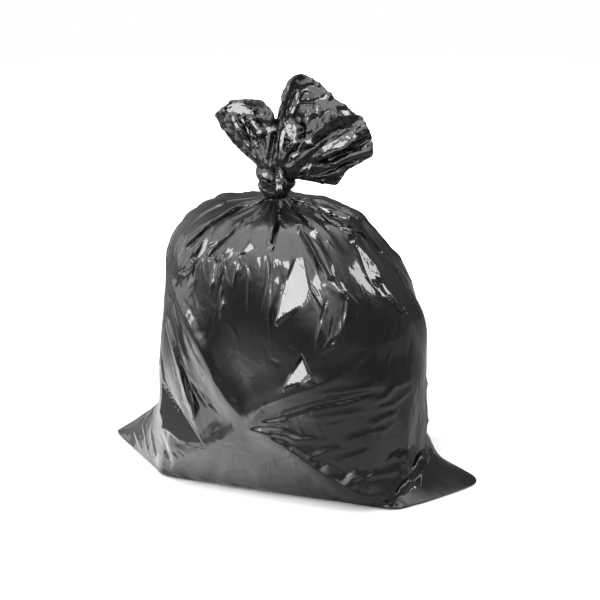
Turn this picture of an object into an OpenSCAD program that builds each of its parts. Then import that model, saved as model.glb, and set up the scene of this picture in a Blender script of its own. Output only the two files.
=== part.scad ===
// A filled bin bag of thin black film, closed by a knot tied in its own neck.
// The flat bag is a plain tube, welded straight across the bottom. Filling it squares up the base
// and leaves a flat three-cornered flap at each end of the weld. Tying it gathers the film into
// folds that run down over the crown, and the mouth fans out above the knot as two ears.
// X runs along the weld, -Y is the front, Z is up, and the origin is the middle of the base.

/* [Flat bag] */
// Width of the flat bag, which is also the length of the weld
weld_len = 600; // [520:10:700]

/* [Base] */
// Depth of the base, from front to back
base_d = 236; // [200:2:300]
// Reach of the left flap past the base
left_flap = 130; // [100:2:150]
// Length of the right flap's tip that is curled under it
right_curl = 20; // [0:1:40]
// Height that the left flap climbs up the side
left_rise = 84; // [60:2:110]
// Height that the right flap climbs up the side
right_rise = 34; // [20:2:110]
// Thickness of a flap at its edge
flap_t = 3; // [2:0.5:6]

/* [Body] */
// Depth of the belly, from front to back
belly_d = 330; // [290:5:380]
// Width of film that slack folds take up round the belly
slack = 40; // [0:5:90]
// Height of the crown, where the film is gathered
crown_h = 404; // [340:4:480]
// Sideways offset of the belly
belly_x = -14; // [-40:1:40]
// Sideways offset of the crown
crown_x = -42; // [-60:1:60]
// Height of the lumps that the contents push out
lump_h = 4; // [0:0.5:8]
// Height of the creases that the load pulls across the film, as a share of their usual height
crease_share = 1; // [0:0.1:1.5]
// Depth of the gathered folds on the crown
fold_depth = 10; // [4:0.5:14]

/* [Neck and knot] */
// Diameter of the gathered neck
neck_d = 30; // [24:1:36]
// Height from the crown to the middle of the knot
neck_len = 34; // [30:1:44]
// Width of the knot
knot_w = 58; // [50:1:66]
// Height of the knot
knot_h = 48; // [40:1:50]
// Thickness of the strand that wraps round the knot
strand_d = 24; // [18:1:30]

/* [Ears] */
// Direction that the ears face, in degrees from the front towards the right
ear_turn = 17; // [0:1:45]
// Angle that the ears lean back, in degrees
ear_lean = 12; // [0:1:20]
// Length of the left ear from the middle of the knot to its rim
left_ear = 130; // [110:2:160]
// Length of the right ear from the middle of the knot to its rim
right_ear = 156; // [130:2:200]
// Thickness of the film bunched in an ear, at its rim
rim_t = 5; // [3:0.5:8]
// Thickness that an ear puffs out to
ear_puff = 22; // [12:1:30]
// Height of the pleats in an ear
pleat_h = 8; // [4:1:12]

/* [Hidden] */

film_colour = [0.09, 0.09, 0.10];
// Columns of points round the bag
around = 112;
step = 360 / around;

// The weld is as long as the base is wide and deep together, and the girth is twice the weld.
base_w = weld_len - base_d;
right_flap = base_d - left_flap - right_curl;
belly_w = 2 * (2 * weld_len - slack) / PI - belly_d;
belly_h = 0.4 * crown_h;
knot_at = [crown_x, 0, crown_h + neck_len];

// Outline of the body, as [size, share of the crown's height]. Size 0 is the base, 1 the belly
// and 2 the neck.
stations = [
    [0.00, 0.00], [0.50, 0.04], [0.84, 0.10], [0.98, 0.18], [1.02, 0.30], [1.04, 0.44], [1.07, 0.58], [1.15, 0.72],
    [1.26, 0.85], [1.40, 0.93], [1.62, 0.975], [1.86, 0.995], [2.00, 1.015]
];

// Where the contents hold the film flat, as [direction, tilt, distance from the belly's middle as a
// share of the belly's depth]. A negative tilt faces the floor. The eighth one is the right shoulder.
flats = [
    [222, 6, 0.59], [264, -6, 0.48], [302, 2, 0.55], [338, 3, 0.61], [20, -2, 0.615], [70, -8, 0.49],
    [112, -5, 0.49], [10, 34, 0.645], [158, 6, 0.61]
];

// Folds gathered at the neck, as [direction, share of the crown's height that the fold runs down
// to, share of the folds' depth].
folds = [
    [279, 0.72, 1.0], [289, 0.88, 0.6], [301, 0.76, 0.9], [320, 0.86, 0.6], [330, 0.74, 1.0], [347, 0.88, 0.6],
    [359, 0.72, 1.0], [22, 0.84, 0.6], [37, 0.72, 1.0], [63, 0.86, 0.6], [74, 0.72, 0.9], [101, 0.78, 0.8],
    [124, 0.86, 0.6], [139, 0.70, 1.0], [166, 0.84, 0.7], [182, 0.74, 1.0], [203, 0.86, 0.5], [213, 0.72, 1.0],
    [232, 0.80, 0.7], [244, 0.72, 1.0], [264, 0.88, 0.5]
];

// Creases that the load pulls across the film. Each is a line of points, as [direction, share of the
// crown's height, height of the crease], and a negative height is a dent.
creases = [
    [[211, 0.88, 5], [225, 0.68, 8], [240, 0.55, 12], [244, 0.45, 13], [251, 0.38, 14], [262, 0.30, 13]],
    [[200, 0.74, 3], [225, 0.68, 8]],
    [[262, 0.30, 13], [271, 0.38, 12], [283, 0.42, 12], [296, 0.46, 11], [310, 0.49, 9], [327, 0.45, 7]],
    [[327, 0.45, 7], [342, 0.43, 6], [354, 0.44, 5]],
    [[262, 0.30, 13], [283, 0.24, 12], [301, 0.14, 11], [316, 0.06, 9], [321, 0.03, 8]],
    [[262, 0.30, 13], [248, 0.22, 11], [233, 0.13, 9], [216, 0.02, 8]],
    [[312, 0.94, 2], [316, 0.84, 5], [317, 0.77, 6], [307, 0.63, 6], [300, 0.58, 3]],
    [[230, 0.44, 1], [233, 0.32, 5], [238, 0.20, 2]],
    [[338, 0.40, 3], [343, 0.25, 5], [340, 0.12, 3]],
    [[210, 0.35, -5], [216, 0.27, -9], [224, 0.20, -7]],
    [[352, 0.28, -4], [346, 0.18, -7], [330, 0.05, -6]],
    [[8, 0.06, 5], [10, 0.34, 4], [8, 0.58, 9], [4, 0.66, 6]],
    [[185, 0.12, 5], [179, 0.36, 6], [190, 0.66, 5]],
    [[78, 0.30, 11], [60, 0.40, 10], [40, 0.58, 8], [30, 0.80, 4]],
    [[78, 0.30, 11], [104, 0.40, 9], [128, 0.46, 8], [158, 0.70, 4]],
    [[78, 0.30, 11], [56, 0.16, 9], [36, 0.03, 7]],
    [[78, 0.30, 11], [112, 0.17, 9], [142, 0.03, 7]],
    [[104, 0.40, 9], [98, 0.60, 6], [104, 0.84, 3]],
    [[150, 0.36, -4], [156, 0.26, -7], [160, 0.14, -5]],
    [[72, 0.56, -2], [66, 0.66, -6], [68, 0.80, -4]]
];
crease_w = 30;

// Rims of the ears seen from the front, from left to right, as [direction, share of the ear's
// length, share of the pleats' height] from the middle of the knot. Direction 0 is to the right and
// 90 is up. A pleat above 0 is folded towards the back, and one below 0 towards the front.
left_rim = [
    [143, 0.58, 0], [138, 0.77, 0.5], [135, 0.91, 0.8], [131, 0.96, -0.3], [125, 0.97, -0.9], [117, 0.94, 0.7],
    [108, 0.90, -0.6], [99, 0.84, 0.8], [92, 0.70, -0.6], [90, 0.60, 0.6]
];
right_rim = [
    [87, 0.525, 1.0], [85, 0.74, -0.2], [83, 0.88, -1.0], [80, 0.94, -0.8], [76, 0.965, 0.2], [70, 0.95, 1.0],
    [61, 0.93, 0.2], [51, 0.915, -0.9], [41, 0.92, -0.5], [34, 0.95, 1.0], [28, 0.96, -0.8], [22, 0.945, 0.9],
    [16, 0.925, -0.7], [12, 0.91, 0.8], [9, 0.74, -0.5], [4, 0.65, 0.5], [-4, 0.57, -0.2]
];

function mix(a, b, t) = a + (b - a) * t;
function within(t) = min(1, max(0, t));
function ease(t) = let (u = within(t)) u * u * (3 - 2 * u);
function sum(list, i = 0) = i < len(list) ? list[i] + sum(list, i + 1) : 0;
// A smooth curve through four values, at t of the way from the second to the third
function through(p, q, r, s, t) =
    q + t / 2 * (r - p + t * (2 * p - 5 * q + 4 * r - s + t * (3 * (q - r) + s - p)));
function pick(list, i) = list[min(len(list) - 1, max(0, i))];
function along(list, t) =
    let (i = min(floor(t), len(list) - 2))
    through(pick(list, i - 1), list[i], list[i + 1], pick(list, i + 2), t - i);

// Distance to the edge of a round-cornered rectangle, in direction a
function box_edge(a, half_w, half_d, square) =
    pow(pow(abs(cos(a)) / half_w, square) + pow(abs(sin(a)) / half_d, square), -1 / square);

// Outline of the footprint: the base with a flap at each end of the weld. The right one is blunt,
// and its back edge is pulled forwards.
right_pull = 50;
foot = [
    [-base_w / 2, -base_d / 2], [base_w / 2, -base_d / 2],
    [base_w / 2 + right_flap, -right_curl / 2], [base_w / 2 + right_flap, right_curl / 2],
    [base_w / 2, base_d / 2 - right_pull], [-base_w / 2, base_d / 2], [-base_w / 2 - left_flap, 0]
];
// Sharpness of the footprint's corners and of the base's own corners
foot_round = 60;
base_square = 7;
function side_edge(a, p, q) =
    let (n = [q.y - p.y, p.x - q.x]) (n * [cos(a), sin(a)]) / (n * p);
function foot_edge(a) =
    pow(
        sum([for (i = [0 : 6]) pow(max(0, side_edge(a, foot[i], foot[(i + 1) % 7])), foot_round)]),
        -1 / foot_round
    );
// How steeply the left and the right flap's top rises where it meets the side
flap_curves = [1.55, 3];

// How far out a flat lies in direction a at height z, as its inverse
flat_sharp = 18;
function flat_edge(f, a, z) =
    let (facing = cos(f[1]) * cos(a - f[0]))
    max(0, facing / (f[2] * belly_d - sin(f[1]) * (z - belly_h)));
function flattened(r, a, z) =
    pow(pow(1 / r, flat_sharp) + sum([for (f = flats) pow(flat_edge(f, a, z), flat_sharp)]), -1 / flat_sharp);

// Share of the folds' depth at direction a and share h of the crown's height. The film bulges out
// between two folds, as between a pumpkin's ribs.
fold_at = [for (f = folds) round(f[0] / step) * step];
function reach_in(f, h) = f[2] * within((h - f[1]) / (1.02 - f[1]));
function fold_share(a, h) =
    sum([
        for (i = [0 : len(folds) - 1])
            let (
                next = (i + 1) % len(folds),
                span = (fold_at[next] - fold_at[i] + 360) % 360,
                off = (a - fold_at[i] + 360) % 360
            )
            if (off < span)
                let (u = off / span)
                (1 - sqrt(4 * u * (1 - u))) * mix(reach_in(folds[i], h), reach_in(folds[next], h), u)
    ]);

// Height of the creases at direction a and share h of the crown's height
degree = PI * (belly_w + belly_d) / 2 / 360;
function across(from, to) = [((to[0] - from[0] + 540) % 360 - 180) * degree, (to[1] - from[1]) * crown_h];
function crease_height(a, h) =
    let (
        heights = [
            for (line = creases, i = [1 : len(line) - 1])
                let (
                    start = line[i - 1],
                    run = across(start, line[i]),
                    p = across(start, [a, h]),
                    t = within(p * run / (run * run))
                )
                mix(start[2], line[i][2], t) * max(0, 1 - norm(p - t * run) / crease_w)
        ]
    )
    crease_share * (max(0, max(heights)) + min(0, min(heights)));

function lumps(a, h) =
    sin(180 * within(h / 0.95))
    * (sin(3 * a + 40 + 300 * h) + 0.7 * sin(5 * a - 70 - 420 * h) + 0.5 * sin(2 * a + 500 * h));

// One point of the body's skin, in direction a at a size and height of its outline
function skin_point(a, s) =
    let (
        size = s[0],
        h = s[1],
        z = h * crown_h,
        grow = within(size),
        close = max(0, size - 1),
        half_w = mix(mix(base_w, belly_w, grow), neck_d, close) / 2,
        half_d = mix(mix(base_d, belly_d, grow), neck_d, close) / 2,
        square = mix(mix(base_square, 2.5, pow(grow, 0.4)), 2, within(close)),
        plain = box_edge(a, half_w, half_d, square),
        held = mix(plain, mix(flattened(plain, a, z), plain, ease((h - 0.82) / 0.18)), ease(h / 0.12)),
        out = max(0, foot_edge(a) - box_edge(a, base_w / 2, base_d / 2, base_square)),
        left = cos(a) < 0,
        rise = left ? left_rise : right_rise,
        flap = out * pow(within((rise - z) / (rise - flap_t)), left ? flap_curves[0] : flap_curves[1]),
        r = held + flap + lump_h * lumps(a, h) + crease_height(a, h)
            - min(fold_depth, 0.34 * plain) * fold_share(a, h),
        shift = mix(belly_x * ease(h / 0.15), crown_x, ease((h - 0.6) / 0.35))
    )
    [r * cos(a) + shift, r * sin(a), z];

// Rows of the skin, closer together next to the floor. The lowest row is tucked in a little, where
// the film turns under onto the floor.
low_rows = [0, 0.12, 0.26, 0.44, 0.7];
high_rows = 29;
rows = concat(low_rows, [for (i = [0 : high_rows]) mix(1, len(stations) - 1, i / high_rows)]);
tuck = 0.985;
function skin_ring(t) = [
    for (j = [0 : around - 1])
        let (p = skin_point(j * step, along(stations, t)))
        t == 0 ? [p.x * tuck, p.y * tuck, 0] : p
];

// The column of points that runs up to the right-hand edge of the ears. A direction in the knot
// and the ears is counted from that column.
edge_column = round(ear_turn / step);
function turned(p) =
    knot_at + [p.x * cos(ear_turn) - p.y * sin(ear_turn), p.x * sin(ear_turn) + p.y * cos(ear_turn), p.z];
function direction(j) = (j - edge_column + around) % around * step;

// One point of the knot, t of the way up to where the ears leave it. The strand winds round the
// knot and climbs one strand a turn, and the knot's top leans over to the right.
knot_rows = 8;
knot_top = 0.25;
knot_lean = 5;
groove = 0.26;
function knot_point(d, t) =
    let (
        z = knot_h * mix(-0.49, knot_top, t),
        swell = sqrt(1 - pow(2 * z / knot_h, 2)),
        turn = z / strand_d + d / 360 + 0.25,
        off = 2 * abs(turn - round(turn)),
        r = mix(neck_d, knot_w, swell) / 2 * (1 - groove * swell * off * off)
    )
    [r * cos(d), r * sin(d), z - knot_lean * t * cos(d)];

// One point of the ears, s of the way from the knot to the rim. The front of the knot runs up into
// the front sheet and its back into the back sheet, and the two meet at the ears' outer edges.
ear_rows = 9;
function rim_point(p, length) =
    let (up = p[1] * length * sin(p[0]))
    [p[1] * length * cos(p[0]), up * sin(ear_lean) + p[2] * pleat_h, up * cos(ear_lean)];
rim = concat([for (p = left_rim) rim_point(p, left_ear)], [for (p = right_rim) rim_point(p, right_ear)]);
function ear_point(d, s) =
    let (
        front = d > 180,
        u = (front ? d - 180 : 180 - d) / 180,
        root = knot_point(d, 1),
        tip = along(rim, u * (len(rim) - 1)),
        half = (rim_t * s + ear_puff * sin(180 * pow(s, 0.8))) / 2 * sqrt(abs(sin(d))),
        middle = root.y * (1 - ease(2 * s)) + tip.y * s
    )
    [mix(root.x, tip.x, s), middle + (front ? -half : half), mix(root.z, tip.z, s)];

function knot_ring(t) = [for (j = [0 : around - 1]) turned(knot_point(direction(j), t))];
function ear_ring(s) = [for (j = [0 : around - 1]) turned(ear_point(direction(j), s))];

// Joins rings of points into one closed skin. The lowest ring is filled flat, and the highest one
// is closed across, from its front to its back.
module closed_skin(rings) {
    n = around;
    m = len(rings);
    function top(k) = (m - 1) * n + (edge_column + k + n) % n;
    polyhedron(
        points = [for (ring = rings) each ring],
        faces = concat(
            [[for (j = [0 : n - 1]) j]],
            [for (k = [1 : n / 2 - 1]) [top(-k), top(k), top(k - 1)]],
            [for (k = [1 : n / 2 - 1]) [top(-k), top(-k - 1), top(k)]],
            [
                for (i = [0 : m - 2], j = [0 : n - 1])
                    let (k = (j + 1) % n)
                    each [[i * n + j, (i + 1) * n + j, i * n + k], [i * n + k, (i + 1) * n + j, (i + 1) * n + k]]
            ]
        )
    );
}

module bin_bag() {
    color(film_colour)
        closed_skin(concat(
            [for (t = rows) skin_ring(t)],
            [for (i = [1 : knot_rows]) knot_ring(i / knot_rows)],
            [for (i = [1 : ear_rows]) ear_ring(i / ear_rows)]
        ));
}

bin_bag();
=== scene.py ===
# %% [markdown]
# # A filled bin bag, knotted in its own neck
# The real object is one tube of thin black film: welded straight across the bottom, filled, and
# closed by a knot in its own neck. Everything that shows is that one film, taut over the contents,
# gathered at the neck and fanned out above the knot.
#
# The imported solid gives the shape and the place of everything. This script makes the film's skin
# from it, lets it settle under a little air pressure, creases it, and gives it its finish.

import math

import bpy
import numpy as np
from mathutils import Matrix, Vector
from mathutils.bvhtree import BVHTree


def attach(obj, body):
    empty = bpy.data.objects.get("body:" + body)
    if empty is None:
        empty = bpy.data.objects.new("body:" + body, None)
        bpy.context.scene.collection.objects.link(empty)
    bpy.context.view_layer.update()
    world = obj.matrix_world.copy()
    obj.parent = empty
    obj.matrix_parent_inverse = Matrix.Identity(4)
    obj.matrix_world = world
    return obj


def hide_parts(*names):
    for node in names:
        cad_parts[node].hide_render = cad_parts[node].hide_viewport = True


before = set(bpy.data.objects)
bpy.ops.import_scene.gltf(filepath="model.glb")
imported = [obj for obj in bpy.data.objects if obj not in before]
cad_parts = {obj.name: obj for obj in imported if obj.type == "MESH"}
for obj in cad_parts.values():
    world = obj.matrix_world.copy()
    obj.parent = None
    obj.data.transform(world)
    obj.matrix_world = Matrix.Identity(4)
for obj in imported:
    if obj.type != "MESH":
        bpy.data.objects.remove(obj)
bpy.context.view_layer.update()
cad_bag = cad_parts["bin_bag"]

# %% [markdown]
# ## Camera
# The photograph looks at the bag from a little to its right and from above, with a long lens. A
# camera can be dragged into place, but two angles and a distance can be corrected one at a time, so
# it is placed by those. From 2.3 m away the bag narrows as slightly towards the floor as it should.

# %% Camera
camera_turn = math.radians(17.4)
camera_rise = math.radians(21.0)
camera_distance = 2.3
focal_length, sensor_width = 92, 36
look_at = Vector((-0.0244, 0.0603, 0.2311))
towards_camera = Vector((
    math.sin(camera_turn) * math.cos(camera_rise),
    -math.cos(camera_turn) * math.cos(camera_rise),
    math.sin(camera_rise),
))
lens = bpy.data.cameras.new("camera")
lens.lens, lens.sensor_width = focal_length, sensor_width
camera = bpy.data.objects.new("camera", lens)
bpy.context.scene.collection.objects.link(camera)
camera.location = look_at + towards_camera * camera_distance
camera.rotation_euler = (-towards_camera).to_track_quat("-Z", "Y").to_euler()
bpy.context.scene.camera = camera
bpy.context.scene.view_settings.view_transform = "Standard"
print("camera at", [round(v, 3) for v in camera.location])

# %% [markdown]
# ## Table
# The bag stands on white. Lamps alone would leave a white table grey in places, and black film
# mirrors all of it. So the table glows with one strength for the camera, which sees white with a
# soft dark rim at the foot: the real shadow, which shows where the glow is weaker, and partly painted
# shade, as the glow is weaker all round the foot. For the film it has another, which is painted light
# and painted shade: it glows bright at the front left, is painted dark far off and at the foot, and
# so mirrors as a bright table that ends not far from the bag. That gives black film its dark middle
# and its lighter foot.

# %% Small helpers for node trees
FACTOR, COLOUR_A, COLOUR_B = 0, 6, 7
COLOUR_OUT = 2


def empty_tree(owner):
    owner.use_nodes = True
    owner.node_tree.nodes.clear()
    return owner.node_tree


def add_node(tree, kind, **values):
    node = tree.nodes.new(kind)
    for name, value in values.items():
        node.inputs[name.replace("_", " ")].default_value = value
    return node


def add_math(tree, operation, a, b=None, clamp=False):
    node = tree.nodes.new("ShaderNodeMath")
    node.operation = operation
    node.use_clamp = clamp
    for socket, value in zip(node.inputs, (a, b)):
        if value is None:
            continue
        if hasattr(value, "links"):
            tree.links.new(value, socket)
        else:
            socket.default_value = value
    return node.outputs[0]


def multiply(tree, first, *others):
    product = first
    for other in others:
        product = add_math(tree, "MULTIPLY", product, other)
    return product


def add_fade(tree, value, fade):
    """A soft change of strength. fade is where it starts and ends, then the strength at each."""
    node = tree.nodes.new("ShaderNodeMapRange")
    node.interpolation_type = "SMOOTHSTEP"
    tree.links.new(value, node.inputs["Value"])
    for name, number in zip(("From Min", "From Max", "To Min", "To Max"), fade):
        node.inputs[name].default_value = number
    return node.outputs[0]


def split(tree, vector):
    """The X, Y and Z of a place or a direction."""
    node = tree.nodes.new("ShaderNodeSeparateXYZ")
    tree.links.new(vector, node.inputs[0])
    return node.outputs


def mix_colours(tree, share, first, second):
    node = tree.nodes.new("ShaderNodeMix")
    node.data_type = "RGBA"
    node.inputs[COLOUR_A].default_value = (*first, 1)
    node.inputs[COLOUR_B].default_value = (*second, 1)
    tree.links.new(share, node.inputs[FACTOR])
    return node.outputs[COLOUR_OUT]


# %% Disc of the table
table_radius = 3
table_below = 0.0005
bpy.ops.object.select_all(action="DESELECT")
bpy.ops.mesh.primitive_circle_add(
    vertices=96, radius=table_radius, fill_type="NGON", location=(0, 0, -table_below)
)
floor = bpy.context.object
floor.name = "floor"
bpy.ops.object.transform_apply(location=True, rotation=True, scale=True)
print("table:", table_radius, "m round the bag")

# %% Where the table glows: painted light for the film, and painted shade at the foot
# A fade is where it starts and ends, in metres from the bag's middle, then the strength at each.
bright_leftwards = (0.12, -0.15, 0.1, 1.0)
bright_forwards = (0.15, -0.1, 0.25, 1.0)
bright_near = (0.4, 0.9, 1.0, 0.0)
white_far = (0.5, 1.2, 0.45, 1.0)
# This one is in metres past the edge of the foot, and the next goes by the strength it gives.
# Both paint shade round the foot, where the table glows less.
painted_shadow_past_foot = (0.0, 0.07, 0.1, 1.0)
white_past_foot = (0.1, 0.9, 0.3, 1.0)
foot_wide, foot_deep = 0.35, 0.224

floor_paint = bpy.data.materials.new("table_white")
tree = empty_tree(floor_paint)
place = add_node(tree, "ShaderNodeTexCoord").outputs["Object"]
length = tree.nodes.new("ShaderNodeVectorMath")
length.operation = "LENGTH"
tree.links.new(place, length.inputs[0])
reach = length.outputs["Value"]
sides = split(tree, place)
past_side = add_math(tree, "SUBTRACT", add_math(tree, "ABSOLUTE", sides["X"]), foot_wide / 2)
past_front = add_math(tree, "SUBTRACT", add_math(tree, "ABSOLUTE", sides["Y"]), foot_deep / 2)
beside = add_fade(tree, add_math(tree, "MAXIMUM", past_side, past_front), painted_shadow_past_foot)
on_left = add_fade(tree, sides["X"], bright_leftwards)
in_front = add_fade(tree, sides["Y"], bright_forwards)
# Painted light for the film: a glow that only mirrors see, bright at the front left and near the bag,
# with painted shadow at the foot.
lit = multiply(tree, on_left, in_front, add_fade(tree, reach, bright_near), beside)
# For the camera: a whitening glow, weaker near the bag and at the foot, which leaves the real shadow and
# partly painted shade there.
lift = multiply(tree, add_fade(tree, reach, white_far), add_fade(tree, beside, white_past_foot))
print("table: bright to the film up to", bright_near[1], "m away")

# %% Paint of the table, with painted light and painted shade that only mirrors see
near_white, painted_far_shade = (0.85, 0.85, 0.85), (0.16, 0.16, 0.16)
paint = add_node(
    tree, "ShaderNodeBsdfPrincipled", Roughness=0.9, Specular_IOR_Level=0.2, Emission_Color=(1, 1, 1, 1)
)
rays = add_node(tree, "ShaderNodeLightPath").outputs
for_camera = multiply(tree, rays["Is Camera Ray"], lift)
for_gloss = multiply(tree, rays["Is Glossy Ray"], lit)
tree.links.new(add_math(tree, "ADD", for_camera, for_gloss), paint.inputs["Emission Strength"])
# Painted shade: where the painted glow fades, mirrors see the table in dark grey.
unlit = add_math(tree, "SUBTRACT", 1.0, lit, clamp=True)
far = multiply(tree, rays["Is Glossy Ray"], unlit)
tree.links.new(mix_colours(tree, far, near_white, painted_far_shade), paint.inputs["Base Color"])
out = add_node(tree, "ShaderNodeOutputMaterial")
tree.links.new(paint.outputs[0], out.inputs[0])
floor.data.materials.append(floor_paint)
print("table's paint:", len(tree.nodes), "nodes")

# %% [markdown]
# ## Room
# The camera sees plain white behind the bag, but in a white room the film would mirror white all
# over and look grey. So the world has two strengths as well: white for the camera, and for every
# other ray a dim room with a bright ceiling that leans towards the front and a glow at the left.

# %% Room
room_lean = 0.3
ceiling_fade = (0.45, 1.1, 0.1, 2.5)
left_fade = (-0.35, -0.95, 0.0, 0.4)
world = bpy.data.worlds.new("room")
bpy.context.scene.world = world
tree = empty_tree(world)
sides = split(tree, add_node(tree, "ShaderNodeTexCoord").outputs["Generated"])
rise = add_math(tree, "SUBTRACT", sides["Z"], multiply(tree, sides["Y"], room_lean))
ceiling = add_fade(tree, rise, ceiling_fade)
left_side = add_fade(tree, sides["X"], left_fade)
white = add_node(tree, "ShaderNodeBackground", Color=(1, 1, 1, 1), Strength=1.0)
room = add_node(tree, "ShaderNodeBackground", Color=(1, 1, 1, 1))
tree.links.new(add_math(tree, "ADD", ceiling, left_side), room.inputs["Strength"])
rays = add_node(tree, "ShaderNodeLightPath").outputs
choose = tree.nodes.new("ShaderNodeMixShader")
out = add_node(tree, "ShaderNodeOutputWorld")
for chosen, source in enumerate((rays["Is Camera Ray"], room.outputs[0], white.outputs[0])):
    tree.links.new(source, choose.inputs[chosen])
tree.links.new(choose.outputs[0], out.inputs[0])
print("room: ceiling up to", ceiling_fade[3], "and left side up to", left_fade[3])

# %% [markdown]
# ## Lamps
# Black film shows almost nothing but what it mirrors, so the lamps are large plain softboxes: a
# broad one on the left, a broad one above, and smaller, brighter ones that give the hard
# highlights. They could be dragged about, but each is placed by its turn from the camera and its
# rise above the table, because those say which way a highlight will move.


# %% Ways from the bag
def way_to(turn, rise):
    """A direction, by its turn from the camera's and its rise above the table, in degrees."""
    polar = math.atan2(towards_camera.y, towards_camera.x) + math.radians(turn)
    up = math.radians(rise)
    return Vector((math.cos(polar) * math.cos(up), math.sin(polar) * math.cos(up), math.sin(up)))


# %% Softboxes
lit_middle = Vector((-0.02, 0, 0.28))
# Turn and rise in degrees, distance, width and height in metres, and the glow.
softboxes = {
    "left_wall": (-100, 18, 1.9, 1.5, 1.3, 1.3),
    "above": (176, 64, 0.95, 0.5, 0.7, 0.9),
    "front_left": (-52, 22, 2.0, 0.9, 0.9, 0.6),
    "window_left": (-56, 34, 1.8, 0.42, 0.36, 9),
    "window_right": (94, 28, 1.8, 0.22, 0.36, 9),
    "window_front": (-8, 34, 2.0, 0.36, 0.3, 12),
    "window_back": (150, 56, 1.8, 0.4, 0.3, 9),
}


def softbox(name, turn, rise, distance, wide, high, glow):
    way = way_to(turn, rise)
    data = bpy.data.lights.new(name, "AREA")
    data.shape = "RECTANGLE"
    data.size, data.size_y = wide, high
    data.energy = glow * math.pi * wide * high
    lamp = bpy.data.objects.new(name, data)
    bpy.context.scene.collection.objects.link(lamp)
    lamp.location = lit_middle + way * distance
    lamp.rotation_euler = way.to_track_quat("Z", "Y").to_euler()
    lamp.visible_camera = False
    return lamp


lamps = {name: softbox(name, *numbers) for name, numbers in softboxes.items()}
print("lamps:", ", ".join(lamps))

# %% [markdown]
# ## Film
# The bag is thin film over air and soft contents. It could be drawn as a new tube, but the packed
# solid already has its shape and size, so the skin starts as a copy of it. The copy gets
# four-sided faces and is divided once, which cloth and smoothing need.


# %% Selecting and dividing
def take(thing):
    bpy.ops.object.select_all(action="DESELECT")
    bpy.context.view_layer.objects.active = thing
    thing.select_set(True)


def subdivide(thing, levels):
    take(thing)
    finer = thing.modifiers.new("finer", "SUBSURF")
    finer.levels = finer.render_levels = levels
    bpy.ops.object.modifier_apply(modifier=finer.name)


# %% Copy of the solid
same_place = 1e-5
bag = bpy.data.objects.new("film", cad_bag.data.copy())
bpy.context.scene.collection.objects.link(bag)
take(bag)
bpy.ops.object.mode_set(mode="EDIT")
bpy.ops.mesh.select_all(action="SELECT")
bpy.ops.mesh.remove_doubles(threshold=same_place)
bpy.ops.mesh.customdata_custom_splitnormals_clear()
bpy.ops.mesh.tris_convert_to_quads(face_threshold=math.pi, shape_threshold=math.pi)
bpy.ops.mesh.normals_make_consistent(inside=False)
bpy.ops.object.mode_set(mode="OBJECT")
subdivide(bag, 1)
print("skin:", len(bag.data.vertices), "points")

# %% [markdown]
# ## Settled film
# Air and contents press the film outwards between the places that hold it: the knot, the floor and
# the two weld flaps. Bulges could be pulled out by hand, but cloth gives them the slack of real
# film. It starts a little inside the solid, grows, and is blown out for a few steps. No point may
# end more than a few millimetres from its start, so the film stays on the solid.


# %% Reading and moving points
def read(items, name, each=3):
    """One property of all points or faces, a row for each."""
    flat = np.empty(len(items) * each, np.float32)
    items.foreach_get(name, flat)
    return flat.reshape(-1, each).astype(float)


def points_of(mesh):
    return read(mesh.vertices, "co")


def normals_of(mesh):
    return read(mesh.vertex_normals, "vector")


def set_points(mesh, points):
    mesh.vertices.foreach_set("co", points.astype(np.float32).ravel())
    mesh.update()


def add_group(thing, name, shares, least):
    group = thing.vertex_groups.new(name=name)
    for index in np.flatnonzero(shares > least):
        group.add([int(index)], float(shares[index]), "REPLACE")


MM_PER_M = 1000


def in_mm(metres):
    return round(MM_PER_M * float(metres), 1)


# %% Where the film is held
# Each pair is where a share is nothing and where it is full, in metres.
moves_above, moves_below = (0.01, 0.06), (0.40, 0.36)
held_at_knot, held_at_floor = (0.39, 0.402), (0.006, 0.002)
flap_sideways, flap_height = (0.175, 0.195), (0.13, 0.07)


def step(value, none, full):
    """A soft step from nothing to full."""
    t = np.clip((value - none) / (full - none), 0, 1)
    return t * t * (3 - 2 * t)


def share_held(points):
    height = points[:, 2]
    on_flap = step(np.abs(points[:, 0]), *flap_sideways) * step(height, *flap_height)
    return np.maximum(np.maximum(step(height, *held_at_knot), step(height, *held_at_floor)), on_flap)


# %% Settle the film as cloth
settle_frames = 12
film_growth = 0.028
film_pressure = 2.5
start_inside = 0.002
most_moved = 0.004
no_move = 1e-9


def make_cloth(thing):
    cloth = thing.modifiers.new("settle", "CLOTH")
    setting = cloth.settings
    setting.quality = 5
    setting.mass = 0.3
    setting.tension_stiffness = setting.compression_stiffness = 15
    setting.shear_stiffness = 5
    setting.bending_stiffness = 0.02
    setting.shrink_min = -film_growth
    setting.use_pressure = True
    setting.uniform_pressure_force = film_pressure
    setting.vertex_group_mass = "held"
    setting.effector_weights.gravity = 0
    cloth.collision_settings.use_collision = False
    cloth.point_cache.frame_start, cloth.point_cache.frame_end = 1, settle_frames
    return cloth


def settle(thing):
    mesh = thing.data
    before = points_of(mesh)
    inwards = start_inside * step(before[:, 2], *moves_above) * step(before[:, 2], *moves_below)
    start = before - normals_of(mesh) * inwards[:, None]
    set_points(mesh, start)
    held = share_held(before)
    add_group(thing, "held", held, least=0.001)
    cloth = make_cloth(thing)
    for number in range(1, settle_frames + 1):
        bpy.context.scene.frame_set(number)
    shaped = thing.evaluated_get(bpy.context.evaluated_depsgraph_get())
    moved = points_of(shaped.data) - start
    far = np.linalg.norm(moved, axis=1)
    thing.modifiers.remove(cloth)
    set_points(mesh, start + moved * np.minimum(1, most_moved / np.maximum(far, no_move))[:, None])
    print("cloth's middle move, before the limit:", in_mm(np.median(far[held < 0.5])), "mm")


settle(bag)

# %% [markdown]
# ## Crown
# Below the neck the solid has plain ribs, and glossy film would mirror them as even bars. They
# could be left out of the solid, but it needs its main folds. So the ribs that the camera sees are
# eased here with a smoothing modifier, and sharper folds are pressed in further on.

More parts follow.
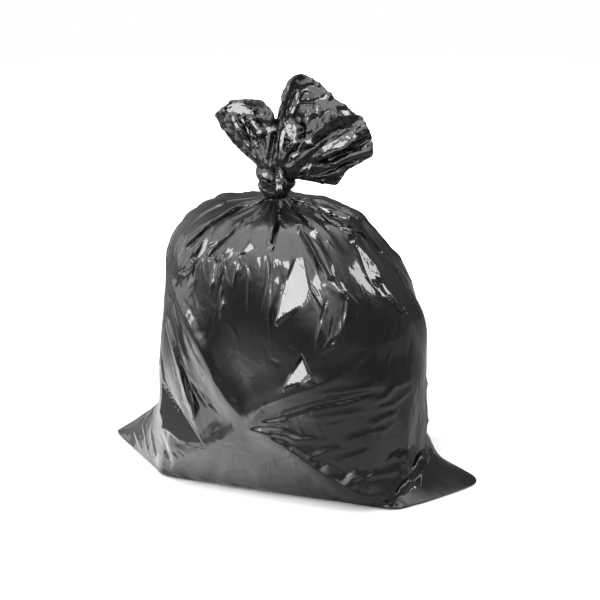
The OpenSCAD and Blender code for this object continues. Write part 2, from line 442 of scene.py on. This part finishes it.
# %% Ease the ribs of the crown
ribs_above, ribs_below = (0.24, 0.30), (0.407, 0.398)
ribs_in_view = (-0.02, 0.05)
ribbed = points_of(bag.data)
eased = step(ribbed @ np.array(towards_camera), *ribs_in_view)
eased = eased * step(ribbed[:, 2], *ribs_above) * step(ribbed[:, 2], *ribs_below)
add_group(bag, "ribs", eased, least=0.01)
take(bag)
ease = bag.modifiers.new("ease", "SMOOTH")
ease.factor, ease.iterations, ease.vertex_group = 0.5, 16, "ribs"
bpy.ops.object.modifier_apply(modifier="ease")
subdivide(bag, 2)
print("finer skin:", len(bag.data.vertices), "points")

# %% [markdown]
# ## Creases
# The load pulls straight creases across the film, such as those down the left side, along the upper
# edge of the belt and across it to the right corner. They could be a bump in the material, but then
# they would be missing from the mesh. So each is a line on the skin with a sharp crest and two
# flanks, which may be of unequal width, and it moves the points themselves. Lines that the
# photograph shows are given by its own pixels and cast from the camera onto the skin.

# %% Finding places on the skin
picture_size = 600
picture_middle = picture_size / 2
skin = BVHTree.FromObject(bag, bpy.context.evaluated_depsgraph_get())
camera_frame = camera.rotation_euler.to_matrix()
focal = picture_size * lens.lens / lens.sensor_width


def seen_at(x, y):
    """The place on the skin that the photograph shows at a pixel."""
    way = camera_frame @ Vector(((x - picture_middle) / focal, (picture_middle - y) / focal, -1))
    return skin.ray_cast(camera.location, way.normalized())[0]


def line_on_skin(ends, spacing=6):
    """Places on the skin along a line of pixels, one every few pixels."""
    line = []
    for (a, b), (c, d) in zip(ends, ends[1:]):
        count = max(1, round(math.hypot(c - a, d - b) / spacing))
        for i in range(count + 1):
            point = seen_at(a + (c - a) * i / count, b + (d - b) * i / count)
            if point is not None:
                line.append(np.array(point))
    return np.array(line)


# %% Shape of one crease
no_span = 1e-12


def crease_field(points, normals, line, height, left, right, sharp=1.3, fade=0.35):
    """How far one crease moves each point. left and right are the widths of its flanks."""
    reach = max(left, right)
    near = np.flatnonzero(((points > line.min(0) - reach) & (points < line.max(0) + reach)).all(1))
    moved = np.zeros(len(points))
    if len(line) < 2 or not len(near):
        return moved
    p = points[near]
    best = np.full(len(near), np.inf)
    side = np.zeros(len(near))
    share = np.zeros(len(near))
    lengths = np.linalg.norm(np.diff(line, axis=0), axis=1)
    gone = np.concatenate([[0], np.cumsum(lengths)])
    for a, b, start in zip(line, line[1:], gone):
        run = b - a
        span = float(run @ run)
        if span < no_span:
            continue
        t = np.clip((p - a) @ run / span, 0, 1)
        off = p - a - t[:, None] * run
        dist = np.linalg.norm(off, axis=1)
        closer = dist < best
        best = np.where(closer, dist, best)
        share = np.where(closer, (start + t * math.sqrt(span)) / gone[-1], share)
        across = np.cross(normals[near], run)
        side = np.where(closer, np.sign((off * across).sum(1)), side)
    width = np.where(side > 0, left, right)
    tent = np.clip(1 - best / width, 0, 1) ** sharp
    taper = np.clip(np.minimum(share, 1 - share) / fade, 0, 1)
    moved[near] = height * tent * np.sin(taper * math.pi / 2)
    return moved


# %% Pressing creases into the skin
def press(lines, joined=True):
    """Presses creases into the skin: a line of pixels, then height, left and right width in mm.

    Where joined creases meet, the highest and the deepest hold. The others add up.
    """
    points = points_of(bag.data)
    normals = normals_of(bag.data)
    crests = np.zeros(len(points))
    dents = np.zeros(len(points))
    for ends, height, left, right in lines:
        line = line_on_skin(ends)
        if len(line) < 2:
            continue
        moved = crease_field(points, normals, line, height / MM_PER_M, left / MM_PER_M, right / MM_PER_M)
        if not joined:
            crests += moved
        elif height > 0:
            crests = np.maximum(crests, moved)
        else:
            dents = np.minimum(dents, moved)
    set_points(bag.data, points + normals * (crests + dents)[:, None])
    print(len(lines), "creases, by at most", in_mm(np.abs(crests + dents).max()), "mm")


# %% Creases that the load pulls
load_creases = [
    ([(168, 272), (183, 307), (203, 352), (214, 378), (227, 400), (245, 423)], 4.5, 12, 20),
    ([(246, 426), (262, 407), (285, 398), (312, 388), (345, 376)], 4, 20, 9),
    ([(246, 424), (285, 446), (324, 474), (366, 498)], 4, 9, 22),
    ([(246, 424), (222, 440), (196, 456), (172, 474)], 2.5, 20, 14),
    ([(304, 230), (318, 248), (326, 264), (333, 280), (346, 298)], 3.5, 10, 14),
    ([(402, 396), (407, 430), (405, 470), (392, 498)], 3, 18, 12),
    ([(270, 244), (271, 280), (274, 322)], 4, 14, 14),
]
press(load_creases)

# %% [markdown]
# ## Folds at the neck
# Where the tube is gathered, its spare width folds into narrow valleys that run out over the
# shoulders, with thin ridges beside them. A finer solid could hold them, but it would need many
# more faces, so they are pressed here: the valleys first, deep and only a few millimetres wide,
# and then the ridges, which add up where they cross.

# %% Folds that run down from the neck
neck_valleys = [
    ([(274, 198), (258, 202), (240, 207), (219, 218), (204, 228), (186, 249)], -11, 8, 4),
    ([(282, 196), (280, 210), (277, 226), (272, 245), (270, 262)], -12, 4, 5),
    ([(240, 222), (231, 233), (219, 245), (208, 260)], -7, 5, 4),
    ([(288, 200), (304, 204), (323, 212), (346, 219)], -8, 4, 5),
    ([(286, 200), (299, 214), (313, 229)], -9, 5, 4),
    ([(312, 212), (332, 221), (350, 227), (365, 234), (386, 256)], -13, 5, 8),
    ([(300, 224), (309, 241), (317, 258), (330, 282)], -10, 5, 10),
]
neck_ridges = [
    ([(270, 197), (245, 203), (228, 211), (200, 231), (182, 250)], 3, 6, 4),
    ([(262, 197), (226, 202), (204, 213), (188, 226)], 2.5, 5, 7),
    ([(256, 201), (232, 211), (210, 226), (196, 240)], 2.5, 4, 4),
    ([(292, 199), (311, 205), (332, 216), (352, 223)], 4, 4, 4),
    ([(298, 197), (323, 202), (346, 211), (366, 224)], 3.5, 5, 5),
    ([(326, 224), (345, 233), (358, 242)], 3.5, 5, 6),
    ([(300, 212), (318, 226), (334, 240)], 3, 5, 5),
]
press(neck_valleys)
press(neck_ridges, joined=False)

# %% [markdown]
# ## Short ridges
# Film that was crumpled once keeps short ridges, and each shows as a thin bright line where it
# catches a lamp. Chance could place them, but these ones are seen in the photograph, so
# they are placed one by one, low and narrow.

# %% Short ridges that catch the light
short_ridges = [
    ([(222, 286), (222, 300), (221, 312)], 1.5, 4, 4),
    ([(208, 230), (199, 250), (186, 276)], 2.8, 5, 6),
    ([(236, 262), (235, 275), (233, 290)], 1.6, 4, 4),
    ([(245, 262), (249, 280), (248, 314)], 1.6, 4, 4),
    ([(346, 298), (345, 316), (340, 334), (333, 345), (322, 351)], 3, 6, 6),
    ([(309, 286), (319, 297), (324, 308), (320, 322), (317, 340), (323, 350)], 2.6, 5, 5),
    ([(331, 326), (328, 346)], 1.6, 4, 4),
    ([(360, 284), (367, 299), (375, 314)], 1.6, 5, 4),
    ([(322, 243), (328, 243), (335, 250)], 1.2, 4, 4),
    ([(322, 256), (326, 266), (334, 280)], 1.4, 4, 4),
    ([(394, 262), (398, 274), (406, 288)], 2, 5, 4),
    ([(192, 286), (197, 310), (200, 332)], 1.4, 5, 4),
]
press(short_ridges, joined=False)

# %% [markdown]
# ## Belt
# The load sits down on the foot, and the film above it buckles into flat wrinkles that run round
# the bag like a belt. Most have a broad upper flank and a steep lower one. Cloth with gravity would
# make such wrinkles, but in other places, so these are lines with two widths as well.

# %% Wrinkles in the belt
belt_wrinkles = [
    ([(250, 424), (285, 416), (310, 408), (345, 401), (384, 390)], -5, 14, 7),
    ([(247, 428), (268, 427), (288, 427)], -3, 5, 4),
    ([(262, 424), (276, 423), (290, 421)], 2.2, 5, 4),
    ([(300, 421), (330, 417), (372, 411)], 2.8, 12, 6),
    ([(322, 428), (338, 424), (352, 419)], 2, 9, 5),
    ([(365, 405), (385, 398), (395, 386), (414, 380)], 3, 10, 7),
    ([(370, 411), (392, 405), (414, 388)], 2.8, 10, 6),
    ([(368, 428), (385, 418), (398, 414)], 2.8, 10, 5),
    ([(372, 436), (386, 430), (396, 421)], 2, 8, 4),
    ([(340, 444), (360, 438), (386, 428)], 3, 12, 5),
    ([(245, 431), (285, 436), (302, 440)], 2.8, 10, 6),
    ([(278, 444), (300, 440), (330, 441)], 2, 9, 5),
    ([(306, 460), (328, 452), (346, 448)], 2.6, 11, 6),
    ([(338, 461), (356, 456), (374, 449)], 2.2, 10, 5),
    ([(310, 472), (328, 463), (346, 473), (362, 462)], -2.4, 7, 8),
    ([(338, 492), (352, 479), (380, 475), (408, 469)], 2, 11, 8),
    ([(326, 476), (342, 481), (352, 472)], -2, 7, 7),
    ([(310, 396), (345, 392), (386, 386)], 2.6, 10, 5),
]
press(belt_wrinkles, joined=False)

# %% [markdown]
# ## Left side
# The film hangs in long strips down the left side and gathers where the flap joins it. The strips
# are broad, low ridges with thin valleys between them, and the flap has short creases that run
# down to its weld. They are pressed in the same way, so that a reader needs no second method.

# %% Strips and folds on the left side
left_strips = [
    ([(167, 288), (176, 314), (182, 345), (190, 372)], 3, 8, 8),
    ([(163, 300), (170, 330), (178, 360), (190, 402), (204, 446)], 4, 10, 12),
    ([(180, 368), (188, 385), (197, 412)], -4, 7, 5),
    ([(160, 352), (166, 385), (180, 412), (204, 446)], 4, 8, 12),
    ([(186, 374), (200, 396), (208, 408)], -2, 4, 4),
    ([(195, 384), (210, 404), (222, 416)], -2, 4, 4),
    ([(184, 330), (193, 352), (206, 374)], 2, 7, 7),
]
flap_creases = [
    ([(143, 424), (146, 440), (148, 454)], 1.6, 4, 4),
    ([(152, 430), (154, 444), (157, 458)], -2, 4, 4),
    ([(134, 430), (138, 440), (142, 450)], 1.2, 4, 4),
]
press(left_strips + flap_creases, joined=False)

# %% [markdown]
# ## Corners
# At the front right corner the film folds in on itself where the flap leaves the belly, and the
# left flap has a shallow fold below its upper edge. Both could be cut into the solid, but they are
# too narrow for its faces, so they are pressed as valleys.

# %% Folds at the corners
corner_folds = [
    ([(384, 505), (396, 495), (411, 480), (418, 458), (432, 446)], -8, 6, 7),
    ([(426, 390), (427, 408), (430, 428), (433, 446)], -4, 4, 4),
    ([(117, 434), (132, 425), (148, 412)], -3, 5, 5),
]
press(corner_folds)

# %% [markdown]
# ## Ears
# Above the knot the mouth of the tube fans out in pleats that run together at the knot. The solid
# has the broad ones. A pleated sheet could be folded here instead, but it would have to meet the
# solid's outline all round, so the narrow valleys and ridges are pressed into the skin.

# %% Pleats of the ears
ear_valleys = [
    ([(238, 116), (246, 134), (256, 152)], -6, 5, 4),
    ([(248, 118), (256, 134), (263, 152)], -6, 5, 4),
    ([(258, 116), (262, 134), (266, 150)], -5, 4, 5),
    ([(222, 120), (238, 142), (254, 158)], -4, 6, 8),
    ([(300, 112), (303, 134), (295, 148), (286, 160)], -9, 7, 10),
    ([(296, 103), (308, 104), (320, 103)], -5, 5, 7),
    ([(290, 96), (286, 112), (282, 126)], -4, 4, 4),
    ([(354, 126), (335, 133), (312, 144), (292, 158)], -8, 7, 9),
    ([(372, 138), (352, 150), (325, 158), (298, 166)], -7, 6, 8),
    ([(344, 162), (318, 168), (292, 172)], -7, 6, 8),
]
ear_ridges = [
    ([(231, 108), (240, 124), (250, 142), (260, 156)], 4, 5, 6),
    ([(242, 110), (252, 128), (260, 148)], 4, 4, 5),
    ([(254, 114), (260, 128), (265, 146)], 3, 4, 4),
    ([(224, 110), (236, 104), (250, 107), (264, 115), (272, 124)], 4, 6, 7),
    ([(290, 118), (290, 138), (283, 156)], 7, 12, 12),
    ([(296, 90), (292, 104), (290, 114)], 4, 5, 6),
    ([(314, 101), (322, 97), (332, 90)], 4, 5, 5),
    ([(318, 100), (320, 112), (318, 120)], 2.5, 4, 4),
    ([(344, 112), (330, 122), (308, 138)], 3, 12, 10),
    ([(360, 130), (346, 143), (326, 152), (302, 160)], 6, 8, 8),
    ([(372, 150), (350, 157), (322, 164)], 3, 7, 7),
    ([(346, 166), (322, 174), (298, 178)], 4, 7, 8),
]
press(ear_valleys)
press(ear_ridges, joined=False)

# %% [markdown]
# ## Knot
# The neck is wound round itself and pulled tight, so its strand shows as grooves round the knot
# and down it, with ridges between them. A separate strand could be swept along a curve, but it is
# the same film as the rest, so grooves and ridges in the one skin are truer.

# %% Wound strand of the knot
strand_grooves = [
    ([(257, 174), (264, 180), (274, 185), (286, 186)], -5, 4, 4),
    ([(262, 166), (270, 172), (280, 176), (292, 177)], -4, 4, 4),
    ([(272, 162), (275, 174), (277, 188)], -5, 4, 5),
    ([(283, 164), (284, 176), (283, 190)], -4, 4, 4),
    ([(262, 188), (272, 192), (284, 193)], -4, 3, 3),
]
strand_ridges = [
    ([(278, 166), (279, 176), (279, 188)], 4, 4, 4),
    ([(258, 170), (262, 178), (268, 184)], 4, 5, 5),
    ([(288, 170), (291, 178), (289, 186)], 3, 4, 4),
]
press(strand_grooves)
press(strand_ridges, joined=False)

# %% [markdown]
# ## Hanging pleat
# The right ear's lowest pleat hangs under its own weight. Pressing moves the skin only along its
# normals, which would make the pleat thicker and not lower. So this film is moved straight down,
# most at its lower edge and less towards the sides.


# %% Where the photograph shows a point
def pixels_of(points):
    local = (points - np.array(camera.location)) @ np.array(camera_frame)
    across = focal * local[:, 0] / -local[:, 2]
    up = focal * local[:, 1] / -local[:, 2]
    return picture_middle + across, picture_middle - up


# %% Sag of the right ear's lowest pleat
soft_left, soft_right = 9, 12
above_knot = 0.435


def sag(left, right, top, bottom, drop):
    """Lets the film inside a frame of pixels hang lower, by at most drop in mm."""
    points = points_of(bag.data)
    x, y = pixels_of(points)
    share = step(x, left, left + soft_left) * step(x, right, right - soft_right) * step(y, top, bottom)
    share *= points[:, 2] > above_knot
    points[:, 2] -= drop / MM_PER_M * share
    set_points(bag.data, points)
    print("sagged by at most", round(drop * float(share.max()), 1), "mm")


sag(left=286, right=346, top=150, bottom=174, drop=9)

# %% [markdown]
# ## Scattered creases
# All film carries many small creases that point to where it is gathered. Nobody can place hundreds
# of them by hand, so chance draws them inside a region of the skin. A fixed seed gives the same
# bag each time. Most lie along the pull towards the neck. Those of the belt lie across it and those
# of the knot at a slant, as film does where it is squeezed together.

# %% Drawing one small crease
neck = (-0.042, 0.0, 0.42)
least_length, least_width = 0.5, 0.5
least_height, more_height = 0.4, 0.8
bowed = 0.25
dented = 0.4
no_pull = 1e-6


def draw_crease(chance, middle, out, length, height, width, lean, spread):
    """A small crease at a face: its line, its height and the widths of its flanks."""
    pull = np.array(neck) - middle
    pull -= out * (pull @ out)
    pull /= max(np.linalg.norm(pull), no_pull)
    across = np.cross(out, pull)
    angle = math.radians(lean + spread * chance.normal())
    way = pull * math.cos(angle) + across * math.sin(angle)
    half = length * (least_length + chance.random()) / (2 * MM_PER_M)
    bow = np.cross(out, way) * half * bowed * chance.normal()
    line = np.array([middle - way * half, middle + bow, middle + way * half])
    high = height * (least_height + more_height * chance.random()) / MM_PER_M
    if chance.random() < dented:
        high = -high
    sides = width * (least_width + chance.random(2)) / MM_PER_M
    return line, high, sides


# %% Scattering creases over a region
# How far scattered creases spare each point. Flat places raise it where they lie.
calm = np.zeros(len(bag.data.vertices))
end_fade = 0.5
most_piled = 2.2


def scatter(name, region, count, seed, length, height, width, spread, lean=0.0):
    """Presses small creases where region(centres, facings) is high. Where calm is high, they are lower.

    Length, height and width are in mm. lean turns the creases from the pull towards the neck, and
    spread is how much they differ, both in degrees.
    """
    chance = np.random.default_rng(seed)
    mesh = bag.data
    points = points_of(mesh)
    normals = normals_of(mesh)
    areas = read(mesh.polygons, "area", each=1)[:, 0]
    centres = read(mesh.polygons, "center")
    facings = read(mesh.polygons, "normal")
    weight = areas * np.clip(region(centres, facings), 0, 1)
    chosen = chance.choice(len(weight), size=count, p=weight / weight.sum())
    moved = np.zeros(len(points))
    for index in chosen:
        line, high, sides = draw_crease(
            chance, centres[index], facings[index], length, height, width, lean, spread
        )
        moved += crease_field(points, normals, line, high, sides[0], sides[1], fade=end_fade)
    most = most_piled * height / MM_PER_M
    moved = most * np.tanh(moved / most) * (1 - calm)
    set_points(mesh, points + normals * moved[:, None])
    print(name, count, "creases, by at most", in_mm(np.abs(moved).max()), "mm")


# %% Regions of the skin
faces_away = (0.15, -0.1)


def at_heights(*edges):
    """A region by height. Each edge is where the region is empty and where it is full."""

    def region(centres, facings):
        share = np.ones(len(centres))
        for none, full in edges:
            share *= step(centres[:, 2], none, full)
        return share

    return region


def behind(region):
    """The part of a region that faces away from the camera."""

    def back(centres, facings):
        return region(centres, facings) * step(facings @ np.array(towards_camera), *faces_away)

    return back


on_ears = at_heights((0.452, 0.47))
on_knot = at_heights((0.415, 0.425), (0.465, 0.455))
on_crown = at_heights((0.26, 0.34), (0.402, 0.392))
on_belt = at_heights((0.015, 0.04), (0.19, 0.14))
on_body = at_heights((0.01, 0.03), (0.402, 0.392))

# %% Scattered creases
scatter("ears", on_ears, 110, seed=3, length=46, height=2.6, width=7, spread=12)
scatter("ear crumples", on_ears, 260, seed=4, length=20, height=2.2, width=6, spread=50)
scatter("knot", on_knot, 60, seed=7, length=14, height=1.6, width=4, spread=40, lean=60)
scatter("crown", on_crown, 90, seed=5, length=70, height=1.4, width=6, spread=7)
scatter("back of crown", behind(on_crown), 34, seed=6, length=110, height=4, width=10, spread=6)
scatter("back belt", behind(on_belt), 60, seed=8, length=70, height=3, width=9, spread=14, lean=90)
scatter("belt", on_belt, 140, seed=9, length=34, height=1.0, width=5, spread=20, lean=90)
scatter("body", on_body, 320, seed=10, length=40, height=0.7, width=6, spread=35)

# %% [markdown]
# ## Flat places
# Between creases the film is stretched flat, and a flat place mirrors one lamp whole, as a patch
# with hard edges. Smooth skin bends a reflection into a streak, and a bright colour would stay
# bright under any light. So the skin is pulled flat inside an outline of pixels, and the place is
# turned halfway between the camera and the lamp, which is how a mirror shows one to the other.


# %% Which way a flat place faces
def facing_between(mirrored, place):
    """The way a flat place faces when it mirrors a spot of the room into the camera."""
    to_spot = np.array((mirrored - place).normalized())
    to_camera = np.array((camera.location - place).normalized())
    both = to_spot + to_camera
    return both / np.linalg.norm(both)


def depth_inside(corners, x, y):
    """How many pixels each place lies inside a convex outline."""
    middle = np.mean(np.array(corners, float), axis=0)
    inside = np.full(len(x), np.inf)
    for (ax, ay), (bx, by) in zip(corners, corners[1:] + corners[:1]):
        nx, ny = by - ay, ax - bx
        size = math.hypot(nx, ny)
        way = 1 if (middle[0] - ax) * nx + (middle[1] - ay) * ny > 0 else -1
        inside = np.minimum(inside, way * ((x - ax) * nx + (y - ay) * ny) / size)
    return inside


# %% Pulling the skin flat
soft_edge, edge_inside = 1.5, 0.4
least_seen = 0.15
least_along = 0.3
most_flattened = 0.012
calmed = 0.6


def flatten(corners, mirrored, pull=0.92):
    """Pulls the skin flat inside a convex outline, to mirror a spot of the room into the camera."""
    points = points_of(bag.data)
    normals = normals_of(bag.data)
    inside = depth_inside(corners, *pixels_of(points))
    share = step(inside, -soft_edge, soft_edge * edge_inside)
    share *= normals @ np.array(towards_camera) > least_seen
    centre = seen_at(*np.mean(np.array(corners, float), axis=0))
    facing = facing_between(mirrored, centre)
    off = (np.array(centre) - points) @ facing
    along = off / np.maximum(normals @ facing, least_along)
    move = pull * np.clip(along, -most_flattened, most_flattened) * share
    set_points(bag.data, points + normals * move[:, None])
    np.maximum(calm, calmed * share, out=calm)
    return float(np.abs(move).max())


def mirror_lamp(name, places, lamp, pull=0.92):
    moved = [flatten(corners, lamps[lamp].location, pull) for corners in places]
    print(name, len(places), "flat places, moved by at most", in_mm(max(moved)), "mm")


# %% Flat places that mirror the lamp in front
facets = {
    "front of the belly": [
        [(303, 254), (286, 266), (281, 294), (269, 324), (278, 323), (307, 302), (310, 290)],
        [(284, 390), (289, 377), (301, 357), (310, 376), (299, 384)],
        [(325, 280), (334, 279), (347, 299)],
        [(239, 256), (251, 241), (257, 253), (247, 253)],
    ],
    "left ear": [
        [(224, 105), (238, 101), (252, 104), (265, 112), (262, 119), (240, 115), (228, 114)],
        [(239, 119), (244, 118), (262, 147), (257, 149)],
        [(247, 117), (251, 116), (262, 134), (259, 136)],
        [(230, 116), (234, 115), (240, 128), (236, 130)],
        [(264, 126), (273, 125), (274, 131), (266, 135)],
        [(241, 150), (247, 152), (246, 157), (242, 156)],
    ],
    "right ear": [
        [(284, 121), (291, 118), (298, 127), (296, 140), (290, 150), (282, 156), (278, 150), (280, 134)],
        [(288, 108), (293, 97), (298, 90), (300, 93), (297, 104), (292, 116), (288, 114)],
        [(299, 88), (309, 87), (310, 91), (302, 92)],
        [(313, 100), (325, 92), (329, 95), (318, 103)],
        [(315, 102), (320, 102), (319, 113), (315, 113)],
        [(340, 137), (354, 130), (358, 137), (345, 146), (323, 154), (320, 148)],
        [(338, 108), (349, 110), (352, 116), (344, 117)],
        [(303, 140), (312, 138), (313, 141), (305, 145)],
        [(291, 157), (298, 151), (300, 154), (293, 160)],
        [(300, 168), (312, 163), (314, 166), (303, 172)],
    ],
    "knot": [
        [(277, 169), (281, 169), (281, 188), (277, 188)],
        [(262, 172), (268, 173), (266, 178), (262, 177)],
    ],
}
for name, places in facets.items():
    mirror_lamp(name, places, "window_front")

# %% [markdown]
# ## Slim flats
# The flanks of the short ridges are flat too, but slim, and they taper. They mirror a lamp as thin
# bright strokes. Even strips would do, but with blunt ends they look like drips of paint, so each
# outline comes to a point, and it is pulled a little less than the broad ones.

# %% Slim flats on the front and the left shoulder
slivers = [
    [(268, 243), (272, 246), (272, 290), (270, 320)],
    [(213, 257), (217, 262), (214, 284), (211, 290)],
    [(222, 258), (226, 264), (230, 287), (227, 282)],
    [(222, 288), (225, 302), (221, 313)],
    [(238, 257), (241, 266), (236, 274)],
    [(346, 296), (348, 303), (343, 334), (342, 318)],
    [(344, 333), (342, 338), (322, 352), (328, 345)],
    [(311, 286), (316, 290), (326, 306), (321, 303)],
    [(325, 306), (322, 324), (317, 342), (319, 320)],
    [(332, 325), (331, 340), (326, 346)],
]
left_shoulder = [
    [(211, 231), (205, 252), (186, 273), (197, 250)],
    [(199, 250), (192, 264), (182, 272), (188, 260)],
]
mirror_lamp("slim, front of the belly", slivers, "window_front", pull=0.88)
mirror_lamp("slim, left shoulder", left_shoulder, "window_left", pull=0.8)

# %% [markdown]
# ## Flat places of the right shoulder and the crown
# The right shoulder turns away from the lamp in front, and the crown's folds face upwards. Turning
# them all the way to that lamp would dent the bag, so each mirrors the lamp that it nearly faces
# already: the one at the right, or the one behind.

# %% Flat places that mirror the lamps at the right and behind
right_shoulder = [
    [(356, 244), (359, 246), (374, 266), (381, 281), (371, 281), (365, 268)],
    [(369, 280), (372, 281), (400, 309), (384, 298)],
    [(379, 280), (383, 282), (400, 308), (389, 298)],
]
crown_streaks = [
    [(292, 200), (302, 201), (327, 209), (348, 216), (347, 219), (324, 212), (300, 204)],
    [(320, 213), (334, 219), (352, 234), (350, 238), (334, 225), (320, 217)],
    [(349, 240), (356, 238), (355, 244), (350, 243)],
]
mirror_lamp("right shoulder", right_shoulder, "window_right")
mirror_lamp("crown", crown_streaks, "window_back")

# %% [markdown]
# ## Black pockets
# Where a fold opens towards the dark lower part of the room, the film mirrors nothing and looks
# black. A darker colour would be wrong from other sides, so these places are turned as well, not
# to a lamp but to a low dark spot. A pocket close to the floor could be pulled through it, so the
# last step counts the points below the floor and lifts them onto it.

# %% Black pockets of the folds
dark_rise, dark_distance = 4, 2
# Each is the turn of its dark spot from the camera, in degrees, and its outline.
pockets = [
    (-68, [(164, 386), (202, 446), (180, 441), (167, 428)]),
    (-70, [(181, 366), (184, 372), (197, 410), (194, 418), (186, 392)]),
    (35, [(410, 482), (418, 456), (425, 454), (419, 484)]),
    (35, [(386, 502), (408, 482), (412, 485), (391, 506)]),
]
moved = [
    flatten(corners, way_to(turn, dark_rise) * dark_distance, pull=0.9) for turn, corners in pockets
]
print(len(moved), "pockets, moved by at most", in_mm(max(moved)), "mm")

# %% Nothing below the floor
low = points_of(bag.data)
below = int((low[:, 2] < 0).sum())
low[:, 2] = np.maximum(low[:, 2], 0)
set_points(bag.data, low)
print(below, "points lifted onto the floor")

# %% [markdown]
# ## Fine wrinkles
# The last layer is hair-thin: film is never quite smooth, not even where it is flat. These
# wrinkles break up the edges of the reflections. A bump gives the very finest of them, further on,
# but these are just wide enough for the mesh, so they are part of its shape.

# %% Fine wrinkles over all of it
scatter("fine wrinkles", on_body, 500, seed=12, length=22, height=0.35, width=2.6, spread=25)
scatter("fine wrinkles of the ears", on_ears, 120, seed=13, length=16, height=0.4, width=2.6, spread=30)

# %% [markdown]
# ## Finish
# Bin film is nearly black, smooth, and a little milky where it has been stretched. One glossy
# layer would be either sharp or soft all over. A clear coat gives the sharp reflections instead,
# and a rougher base under it gives the soft sheen. Clouds of noise make it uneven.

# %% Colour and gloss of the film
deep_black, milky_black = (0.003, 0.003, 0.004), (0.009, 0.009, 0.011)
sheen_fade = (0.3, 0.7, 0.24, 0.38)
film = bpy.data.materials.new("black_film")
film.use_nodes = True
tree = film.node_tree
gloss = tree.nodes["Principled BSDF"]
gloss.inputs["Coat Weight"].default_value = 1.0
gloss.inputs["Coat Roughness"].default_value = 0.03
place = add_node(tree, "ShaderNodeTexCoord").outputs["Object"]
clouds = add_node(tree, "ShaderNodeTexNoise", Scale=9.0, Detail=5.0, Roughness=0.6)
tree.links.new(place, clouds.inputs["Vector"])
cloudy = clouds.outputs["Fac"]
tree.links.new(mix_colours(tree, cloudy, deep_black, milky_black), gloss.inputs["Base Color"])
tree.links.new(add_fade(tree, cloudy, sheen_fade), gloss.inputs["Roughness"])
print("film: roughness", sheen_fade[2], "to", sheen_fade[3], "under a clear coat")

# %% Finest relief of the film
crumple_share = 0.5
crumple = add_node(tree, "ShaderNodeTexVoronoi", Scale=70.0)
crumple.feature = "F2"
tree.links.new(place, crumple.inputs["Vector"])
waves = add_node(tree, "ShaderNodeTexNoise", Scale=42.0, Detail=1.5, Roughness=0.5, Distortion=0.6)
tree.links.new(place, waves.inputs["Vector"])
crumpled = multiply(tree, crumple.outputs["Distance"], crumple_share)
relief = add_node(tree, "ShaderNodeBump", Strength=0.1, Distance=0.0035)
tree.links.new(add_math(tree, "ADD", crumpled, waves.outputs["Fac"]), relief.inputs["Height"])
tree.links.new(relief.outputs[0], gloss.inputs["Normal"])
tree.links.new(relief.outputs[0], gloss.inputs["Coat Normal"])
print("film:", len(tree.nodes), "nodes")

# %% [markdown]
# ## Hand-over
# The finished skin takes the place of the plain solid and goes where the bag goes. It is one piece
# of film round soft contents.

# %% Hand the film over
take(bag)
bpy.ops.object.shade_smooth()
bag.data.materials.clear()
bag.data.materials.append(film)
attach(bag, "root")
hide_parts("bin_bag")
print("film handed over:", len(bag.data.polygons), "faces")
